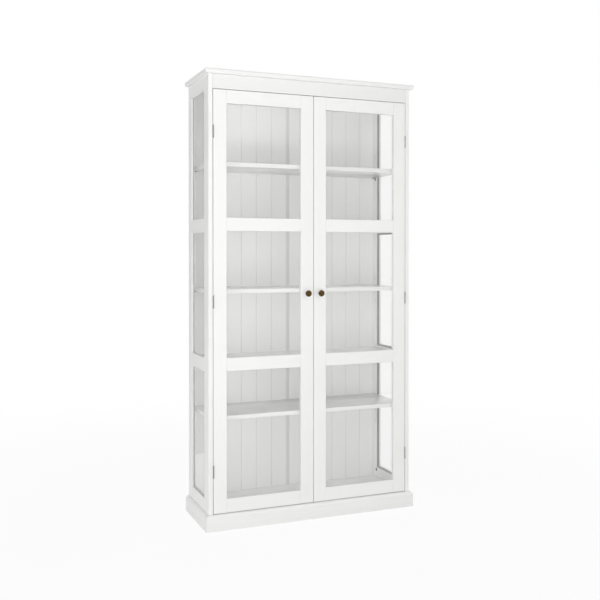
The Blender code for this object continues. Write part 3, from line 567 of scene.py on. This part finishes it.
def seal_profile(glass_x, back_x):
    """Across one side of a seal: (distance from the rebate's wall, x).

    A wedge, as wide as the rebate at the glass and thin at its back, with a slope that swells a little.
    """
    reach = SIDE_REBATE - SEAL_SET_BACK
    inward = 1 if back_x > glass_x else -1
    toe_x = glass_x + inward * SEAL_TOE
    points = [(0.0, glass_x), (reach, glass_x)]
    for step in range(SEAL_STEPS + 1):
        share = step / SEAL_STEPS
        swell = SEAL_SWELL * math.sin(math.pi * share)
        inset = reach + (SEAL_BACK_WIDTH - reach) * share + swell
        points.append((inset, toe_x + (back_x - toe_x) * share + inward * swell))
    points.append((0.0, back_x))
    return points


def seal_ring(low_y, high_y, low_z, high_z, glass_x, back_x):
    """Closed bead round a rectangle in the YZ plane, mitred at its corners."""
    bm = bmesh.new()
    loops = []
    for sign_y, sign_z in ((-1, -1), (1, -1), (1, 1), (-1, 1)):
        loop = []
        for inset, x in seal_profile(glass_x, back_x):
            y = (low_y + inset) if sign_y < 0 else (high_y - inset)
            z = (low_z + inset) if sign_z < 0 else (high_z - inset)
            loop.append(bm.verts.new((x, y, z)))
        loops.append(loop)
    for index, loop in enumerate(loops):
        following = loops[(index + 1) % len(loops)]
        for step in range(len(loop)):
            after = (step + 1) % len(loop)
            bm.faces.new((loop[step], loop[after], following[after], following[step]))
    return bm


def side_seals():
    """A seal round each side pane, from the glass to the inner face of the side frame."""
    play = PANE_PLAY - SEAL_GAP
    for hand, side in HANDS:
        for level in LEVELS:
            low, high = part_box(f"{hand}_side_{level}_pane")
            glass_face = min(abs(low.x), abs(high.x)) - SEAL_GAP
            bm = seal_ring(low.y - play, high.y + play, low.z - play, high.z + play,
                           side * glass_face, side * (SIDE_INNER_X + SEAL_GAP))
            name = f"{hand}_side_{level}_seal"
            link_piece(name, mesh_from(name, bm, FINISHES["seal_grey"]), "case")


# Loose shelves and their supports

SHELF_THICKNESS = 18.0 * MM
SHELF_EASE = 0.9 * MM
SHELF_END_PLAY = 1.0 * MM
SHELF_REST = 0.05 * MM
SHELF_END_X = SIDE_INNER_X - SHELF_END_PLAY
SUPPORT_TONGUE = 15.0 * MM
SUPPORT_TONGUE_THICKNESS = 4.0 * MM
SUPPORT_WIDTH = 8.0 * MM
SUPPORT_SHEET = 1.2 * MM
SUPPORT_BEND = 1.6 * MM
SUPPORT_FILLET = 0.8 * MM
SUPPORT_STEPS = 6
SUPPORT_HEIGHT = 14.0 * MM
SUPPORT_WALL_GAP = 0.3 * MM
SUPPORT_BACK_X = SIDE_INNER_X - SUPPORT_WALL_GAP
PEG_DROP = 6.0 * MM
PEG_RADIUS = 2.5 * MM
PEG_LENGTH = 9.0 * MM
PEG_CHAMFER = 0.5 * MM
PEG_SIDES = 24


def support_outline():
    """(x, z) round a support's tongue and plate, seen from the front."""
    sheet, thick = SUPPORT_SHEET, SUPPORT_TONGUE_THICKNESS
    bend, fillet = SUPPORT_BEND, SUPPORT_FILLET
    outer = [(-SUPPORT_TONGUE, 0.0)]
    inner = [(-SUPPORT_TONGUE, -thick)]
    for step in range(SUPPORT_STEPS + 1):
        angle = math.pi / 2 * step / SUPPORT_STEPS
        across, along = math.sin(angle), math.cos(angle)
        outer.append((-bend + bend * across, -bend + bend * along))
        inner.append((-sheet - fillet + fillet * across, -thick - fillet + fillet * along))
    outer.append((0.0, -SUPPORT_HEIGHT))
    inner.append((-sheet, -SUPPORT_HEIGHT))
    return outer + inner[::-1]


def support_peg():
    peg = turned([(0, -SUPPORT_SHEET / 2), (PEG_RADIUS, -SUPPORT_SHEET / 2),
                  (PEG_RADIUS, PEG_LENGTH - PEG_CHAMFER), (PEG_RADIUS - PEG_CHAMFER, PEG_LENGTH),
                  (0, PEG_LENGTH)], PEG_SIDES)
    turn_to(peg, (1, 0, 0))
    return moved(peg, (0, 0, -PEG_DROP))


def support_mesh(side):
    """Steel support: a tongue under the shelf, a plate beside the wall and a peg into its hole.

    The origin is the corner where the shelf's underside meets the wall.
    """
    bm = bmesh.new()
    outline = support_outline()
    half = SUPPORT_WIDTH / 2
    front = [bm.verts.new((x, -half, z)) for x, z in outline]
    back = [bm.verts.new((x, half, z)) for x, z in outline]
    bm.faces.new(front)
    bm.faces.new(back[::-1])
    for step in range(len(outline)):
        after = (step + 1) % len(outline)
        bm.faces.new((front[step], back[step], back[after], front[after]))
    whole = solid_of(bm, [support_peg()], "UNION")
    bmesh.ops.scale(whole, vec=(side, 1, 1), verts=whole.verts[:])
    return mesh_from("shelf_support", whole, FINISHES["support_steel"])


def loose_shelves():
    """Each loose shelf as a board on four steel supports."""
    supports = {side: support_mesh(side) for _, side in HANDS}
    for level in LEVELS:
        node = level + "_loose_shelf"
        low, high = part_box(node)
        underside = high.z - SHELF_THICKNESS
        bm = eased_block((-SHELF_END_X, low.y, underside), (SHELF_END_X, high.y, high.z), SHELF_EASE)
        name = level + "_shelf_board"
        shelf = link_piece(name, mesh_from(name, bm, SHELF_PAINT), "case")
        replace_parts(shelf, node)
        for hand, side in HANDS:
            for row, y in zip(("front", "rear"), SUPPORT_ROWS_Y):
                place = Matrix.Translation((side * SUPPORT_BACK_X, y, underside - SHELF_REST))
                name = f"{level}_shelf_{hand}_{row}_support"
                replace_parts(link_piece(name, supports[side], "case", place), node)


# Screws and cam locks

SCREW_HEAD_RADIUS = 2.8 * MM
SCREW_HEAD_HEIGHT = 1.55 * MM
SCREW_RIM_HEIGHT = 0.25 * MM
SCREW_RIM_CHAMFER = 0.15 * MM
SCREW_SHANK_RADIUS = 1.5 * MM
SCREW_TAPER_LENGTH = 3.5 * MM
SCREW_TIP_LENGTH = 1.2 * MM
SCREW_TIP_RADIUS = 0.35 * SCREW_SHANK_RADIUS
SCREW_LENGTH = 11.5 * MM

BOLT_HEAD_RADIUS = 4.0 * MM
BOLT_HEAD_RISE = 2.3 * MM
# Round the pan head, as shares of its radius and its rise
BOLT_HEAD_ROUND = ((1.0, 0.35), (0.93, 0.62), (0.75, 0.85), (0.45, 1.0))
BOLT_SEAT_GAP = 0.05 * MM
BOLT_RADIUS = 1.9 * MM
BOLT_LENGTH = 28.0 * MM
BOLT_END_CHAMFER = (0.5 * MM, 0.6 * MM)

CAM_RADIUS = 7.4 * MM
CAM_LENGTH = 9.0 * MM
CAM_SINK = 1.2 * MM
CAM_CHAMFER = 0.3 * MM
CAM_RIM_INNER = 0.9 * MM
CAM_FLOOR_START = 1.1 * MM
CAM_FLOOR_DEPTH = 0.35 * MM

# Width, reach and depth of the crosses that drive them
SCREW_CROSS = (0.7 * MM, 3.2 * MM, 1.0 * MM)
BOLT_CROSS = (0.9 * MM, 4.4 * MM, 1.3 * MM)
CAM_CROSS = (1.3 * MM, 7.5 * MM, 2.4 * MM)
CROSS_ABOVE = 0.5 * MM

# Faces of the screw heads, just under the faces of the hinge leaves on the wood
LEAF_FACE = 1.3 * MM
HEAD_SINK = 0.15 * MM
CASE_SCREW_X = SIDE_INNER_X - LEAF_FACE + HEAD_SINK
DOOR_SCREW_X = DOOR_OUTER_X + LEAF_FACE - HEAD_SINK
HINGE_SCREW_SETBACK = 10.0 * MM
HINGE_SCREW_SPACING = 34.0 * MM
HINGE_SCREW_Y = FRONT_Y + HINGE_SCREW_SETBACK
CAM_END_INSET = 33.7 * MM
CAM_HEIGHTS = (("lower", SIDE_LOW.z + CAM_END_INSET), ("upper", SIDE_HIGH.z - CAM_END_INSET))
# Turn of each driver recess from the one before, so that no two look alike
SPIN_START = 0.4
SPIN_STEP = 1.3


def cross_cut(width, reach, depth):
    """Cross-shaped cutter for a driver recess, from a little above height 0 down to -depth."""
    return [block((-along / 2, -across / 2, -depth), (along / 2, across / 2, CROSS_ABOVE))
            for along, across in ((reach, width), (width, reach))]


def driven(name, profile, cutters, finish):
    """Turned fastener with a recess for its driver."""
    return mesh_from(name, solid_of(turned(profile), cutters, "DIFFERENCE"), FINISHES[finish])


def wood_screw_mesh():
    """Countersunk screw pointing down, its head's face at height 0."""
    head, shank, length = SCREW_HEAD_RADIUS, SCREW_SHANK_RADIUS, SCREW_LENGTH
    profile = [(0, -length), (SCREW_TIP_RADIUS, -length + SCREW_TIP_LENGTH),
               (shank, -length + SCREW_TAPER_LENGTH), (shank, -SCREW_HEAD_HEIGHT),
               (head, -SCREW_RIM_HEIGHT), (head - SCREW_RIM_CHAMFER, 0), (0, 0)]
    return driven("wood_screw", profile, cross_cut(*SCREW_CROSS), "nickel_steel")


def bolt_mesh():
    """Pan-headed knob screw pointing down, the underside of its head at height 0."""
    head, rise, radius, length = BOLT_HEAD_RADIUS, BOLT_HEAD_RISE, BOLT_RADIUS, BOLT_LENGTH
    inward, upward = BOLT_END_CHAMFER
    profile = [(0, -length), (radius - inward, -length), (radius, -length + upward),
               (radius, BOLT_SEAT_GAP), (head, BOLT_SEAT_GAP)]
    profile += [(across * head, up * rise) for across, up in BOLT_HEAD_ROUND]
    profile.append((0, rise))
    cutters = [moved(arm, (0, 0, rise)) for arm in cross_cut(*BOLT_CROSS)]
    return driven("knob_screw", profile, cutters, "nickel_steel")


def cam_mesh():
    """Zinc cam lock pointing down, its face at height 0, with a raised rim and a cross."""
    radius, length = CAM_RADIUS, CAM_LENGTH
    profile = [(0, -length), (radius, -length), (radius, -CAM_CHAMFER), (radius - CAM_CHAMFER, 0),
               (radius - CAM_RIM_INNER, 0), (radius - CAM_FLOOR_START, -CAM_FLOOR_DEPTH),
               (0, -CAM_FLOOR_DEPTH)]
    return driven("cam_lock", profile, cross_cut(*CAM_CROSS), "cam_zinc_shaded")


def set_in(name, mesh, body, point, outward, spin):
    """Places a shared fastener mesh with its face at point, facing outward."""
    turn = Vector((0, 0, 1)).rotation_difference(Vector(outward)).to_matrix()
    turn = turn @ Matrix.Rotation(spin, 3, "Z")
    return link_piece(name, mesh, body, Matrix.Translation(point) @ turn.to_4x4())


def fasteners():
    screw, bolt, cam = wood_screw_mesh(), bolt_mesh(), cam_mesh()
    spins = itertools.count(SPIN_START, SPIN_STEP)
    for hand, side in HANDS:
        door = hand + "_door"
        for level in LEVELS:
            low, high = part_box(f"{hand}_{level}_hinge_case_leaf")
            centre = (low.z + high.z) / 2
            for row, step in (("low", -0.5), ("high", 0.5)):
                z = centre + step * HINGE_SCREW_SPACING
                set_in(f"{hand}_{level}_hinge_case_{row}_screw", screw, "case",
                       (side * CASE_SCREW_X, HINGE_SCREW_Y, z), (-side, 0, 0), next(spins))
                set_in(f"{hand}_{level}_hinge_door_{row}_screw", screw, door,
                       (side * DOOR_SCREW_X, HINGE_SCREW_Y, z), (side, 0, 0), next(spins))
        low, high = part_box(door + "_knob")
        bolt_place = ((low.x + high.x) / 2, DOOR_REAR_Y, (low.z + high.z) / 2)
        set_in(f"{hand}_knob_screw", bolt, door, bolt_place, (0, 1, 0), next(spins))
        for row, y in zip(("front", "rear"), CAM_ROWS_Y):
            for level, z in CAM_HEIGHTS:
                set_in(f"{hand}_{level}_{row}_cam_lock", cam, "case",
                       (side * (SIDE_INNER_X + CAM_SINK), y, z), (-side, 0, 0), next(spins))


# Knobs: radii as shares of the head's radius, heights as shares of the reach from the door

KNOB_SIDES = 64
KNOB_STEPS = 8
KNOB_FOOT_RADIUS = 0.56
KNOB_FOOT_CHAMFER = 0.3 * MM
# Round the foot's rim, radii as shares of the foot's
KNOB_FOOT_ROUND = ((1.0, 0.05), (0.93, 0.085), (0.8, 0.11))
# The neck's radius at the foot and at the head, the depth of its waist, and where it lies
KNOB_NECK_START_RADIUS = 0.72 * KNOB_FOOT_RADIUS
KNOB_NECK_END_RADIUS = 0.66
KNOB_WAIST = 0.1095
KNOB_NECK_HEIGHTS = (0.14, 0.58)
# The rim of the head is an arc, (radius, height)
KNOB_RIM_CENTRE = (0.86, 0.72)
KNOB_RIM_REACH = (0.14, 0.1)
KNOB_RIM_ANGLES = (-70, 80)
# A shallow groove between the rim and the dome, then the dome
KNOB_GROOVE = ((0.84, 0.83), (0.80, 0.822), (0.76, 0.84))
KNOB_DOME_RADIUS = 0.76
KNOB_DOME_HEIGHTS = (0.84, 1.0)


def knob_profile():
    """Turned knob from its foot at height 0, in shares: waisted neck, rimmed head with a low dome."""
    points = [(KNOB_FOOT_RADIUS * across, height) for across, height in KNOB_FOOT_ROUND]
    low, high = KNOB_NECK_HEIGHTS
    for step in range(KNOB_STEPS + 1):
        share = step / KNOB_STEPS
        flare = (KNOB_NECK_END_RADIUS - KNOB_NECK_START_RADIUS) * share ** 3
        waist = KNOB_WAIST * math.sin(math.pi * share) * (1 - share)
        points.append((KNOB_NECK_START_RADIUS + flare - waist, low + (high - low) * share))
    start, end = KNOB_RIM_ANGLES
    for step in range(KNOB_STEPS + 1):
        angle = math.radians(start + (end - start) * step / KNOB_STEPS)
        points.append((KNOB_RIM_CENTRE[0] + KNOB_RIM_REACH[0] * math.cos(angle),
                       KNOB_RIM_CENTRE[1] + KNOB_RIM_REACH[1] * math.sin(angle)))
    points += KNOB_GROOVE
    low, high = KNOB_DOME_HEIGHTS
    for step in range(1, KNOB_STEPS):
        angle = math.pi / 2 * step / KNOB_STEPS
        points.append((KNOB_DOME_RADIUS * math.cos(angle), low + (high - low) * math.sin(angle)))
    points.append((0, high))
    return points


def knobs():
    for hand, _ in HANDS:
        node = hand + "_door_knob"
        low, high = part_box(node)
        reach = high.y - low.y
        radius = (high.x - low.x) / 2
        foot = KNOB_FOOT_RADIUS * radius
        profile = [(0, 0), (foot - KNOB_FOOT_CHAMFER, 0), (foot, KNOB_FOOT_CHAMFER)]
        profile += [(across * radius, height * reach) for across, height in knob_profile()]
        bm = turned(profile, KNOB_SIDES)
        turn_to(bm, (0, -1, 0))
        moved(bm, ((low.x + high.x) / 2, high.y, (low.z + high.z) / 2))
        name = hand + "_turned_knob"
        obj = link_piece(name, mesh_from(name, bm, FINISHES["aged_brass"]), hand + "_door")
        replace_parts(obj, node)


# Studio

FLOOR_RADIUS = 9.0
FLOOR_SEGMENTS = 96
FLOOR_GREY = rgb(0.85, 0.85, 0.85)
# Near the cabinet the floor shows this share of pure white and its shadow; farther off, only white
FLOOR_WHITE = 0.92
FADE_START = 1.2
FADE_END = 3.2
AMBIENT = 0.40
# Name, place, point that it faces, side of the square, watts
LAMPS = (
    ("camera_softbox", (-1.475, -3.58, 1.18), (0.0, 0.0, 0.95), 0.12, 42.0),
    ("high_softbox", (1.5, -3.0, 4.0), (0.0, 0.0, 0.9), 2.6, 12.0),
    ("left_softbox", (-4.4, -1.4, 1.2), (0.0, 0.0, 0.9), 2.4, 49.0),
    ("right_softbox", (4.2, 0.1, 2.4), (0.0, 0.0, 0.9), 2.4, 42.0),
    ("rear_softbox", (1.6, 4.8, 2.4), (0.0, 0.0, 0.9), 2.4, 50.0),
    ("low_softbox", (-0.4, -2.3, 0.03), (-0.4, -1.9, 1.0), 3.4, 31.0),
)
# Sheets that only mirrored rays show: a white reflector, brightest at its left and faded out
# along its foot, and a dark flag behind the left side
REFLECTOR_PLACE = (1.9, -5.2, 3.34)
REFLECTOR_SIZE = (3.6, 2.2)
REFLECTOR_FOOT_FADE = 0.24
REFLECTOR_SIDE_FADE = (-0.4, 1.0)
REFLECTOR_GLOW = (3.8, 1.4)
FLAG_PLACE = (-1.575, 1.2, 1.3)
FLAG_SIZE = (1.65, 2.6)
FLAG_FADE = (-1.1, -0.2)
FLAG_GLOW = (0.5, 0.12)


def seen_directly(g):
    """1 for rays that show the background: from the camera, mirrored or through glass."""
    path = g.node("ShaderNodeLightPath").outputs
    seen = path["Is Camera Ray"]
    for kind in ("Is Glossy Ray", "Is Transmission Ray"):
        seen = g.math("MAXIMUM", seen, path[kind])
    return seen


def world():
    """White where it is seen, and an even light of its own strength."""
    g = Graph(bpy.data.worlds.new("studio"))
    strength = g.spread(seen_directly(g), 0.0, 1.0, AMBIENT, 1.0)
    background = g.node("ShaderNodeBackground", {"Color": WHITE, "Strength": strength})
    bpy.context.scene.world = g.surface(background, "ShaderNodeOutputWorld")


def floor_material():
    """Pale floor that shows white, keeps a soft shadow near the cabinet and fades into the background."""
    g = new_material("floor")
    diffuse = g.node("ShaderNodeBsdfDiffuse", {"Color": FLOOR_GREY})
    white = g.node("ShaderNodeEmission", {"Color": WHITE, "Strength": 1.0})
    distance = g.node("ShaderNodeVectorMath", operation="LENGTH")
    g.put(distance.inputs[0], g.place())
    share = g.spread(distance.outputs["Value"], FADE_START, FADE_END, FLOOR_WHITE, 1.0)
    shown = g.math("MULTIPLY", share, seen_directly(g))
    return g.surface(g.mixed(shown, diffuse, white))


def floor():
    bm = bmesh.new()
    bmesh.ops.create_circle(bm, cap_ends=True, radius=FLOOR_RADIUS, segments=FLOOR_SEGMENTS)
    mesh = plain_mesh("floor", bm)
    mesh.materials.append(floor_material())
    link_object("floor", mesh)


def lamp(name, location, target, size, power):
    light = bpy.data.lights.new(name, "AREA")
    light.shape = "SQUARE"
    light.size = size
    light.energy = power
    obj = link_object(name, light)
    aim = Vector(target) - Vector(location)
    obj.matrix_world = Matrix.Translation(location) @ aim.to_track_quat("-Z", "Y").to_matrix().to_4x4()
    obj.visible_camera = False
    obj.visible_glossy = False
    obj.visible_transmission = False


def sheet(name, place, size, material):
    """Upright sheet across Y that lights nothing and shows only where it is mirrored."""
    half, rise = size[0] / 2, size[1] / 2
    bm = bmesh.new()
    corners = [(-half, 0, -rise), (half, 0, -rise), (half, 0, rise), (-half, 0, rise)]
    bm.faces.new([bm.verts.new(corner) for corner in corners])
    mesh = plain_mesh(name, bm)
    mesh.materials.append(material)
    obj = link_object(name, mesh)
    obj.location = place
    for kind in ("camera", "diffuse", "transmission", "shadow"):
        setattr(obj, "visible_" + kind, False)


def reflector():
    g = new_material("reflector")
    place = g.place_along()
    foot = -REFLECTOR_SIZE[1] / 2
    fade = g.eased(place["Z"], foot, foot + REFLECTOR_FOOT_FADE, 0.0, 1.0)
    strength = g.eased(place["X"], *REFLECTOR_SIDE_FADE, *REFLECTOR_GLOW)
    glow = g.node("ShaderNodeEmission", {"Color": WHITE, "Strength": strength})
    clear = g.node("ShaderNodeBsdfTransparent")
    sheet("reflector", REFLECTOR_PLACE, REFLECTOR_SIZE, g.surface(g.mixed(fade, clear, glow)))


def flag():
    g = new_material("flag")
    strength = g.eased(g.place_along()["Z"], *FLAG_FADE, *FLAG_GLOW)
    dark = g.node("ShaderNodeEmission", {"Color": WHITE, "Strength": strength})
    sheet("flag", FLAG_PLACE, FLAG_SIZE, g.surface(dark))


def studio():
    world()
    floor()
    reflector()
    flag()
    for settings in LAMPS:
        lamp(*settings)


# Camera, matched to the photograph

CAMERA_LOCATION = (-1.468, -3.5639, 1.1803)
CAMERA_TURN = (89.437, 0.0, -22.335)
CAMERA_LENS = 50.15
CAMERA_SENSOR = 36.0
CAMERA_SHIFT_Y = -0.0644


def camera():
    data = bpy.data.cameras.new("camera")
    data.lens = CAMERA_LENS
    data.sensor_width = CAMERA_SENSOR
    data.shift_y = CAMERA_SHIFT_Y
    obj = link_object("camera", data)
    obj.location = CAMERA_LOCATION
    obj.rotation_euler = [math.radians(angle) for angle in CAMERA_TURN]
    bpy.context.scene.camera = obj


finish_nodes()
side_seals()
loose_shelves()
fasteners()
knobs()
studio()
camera()
bpy.context.scene.view_settings.view_transform = "Standard"
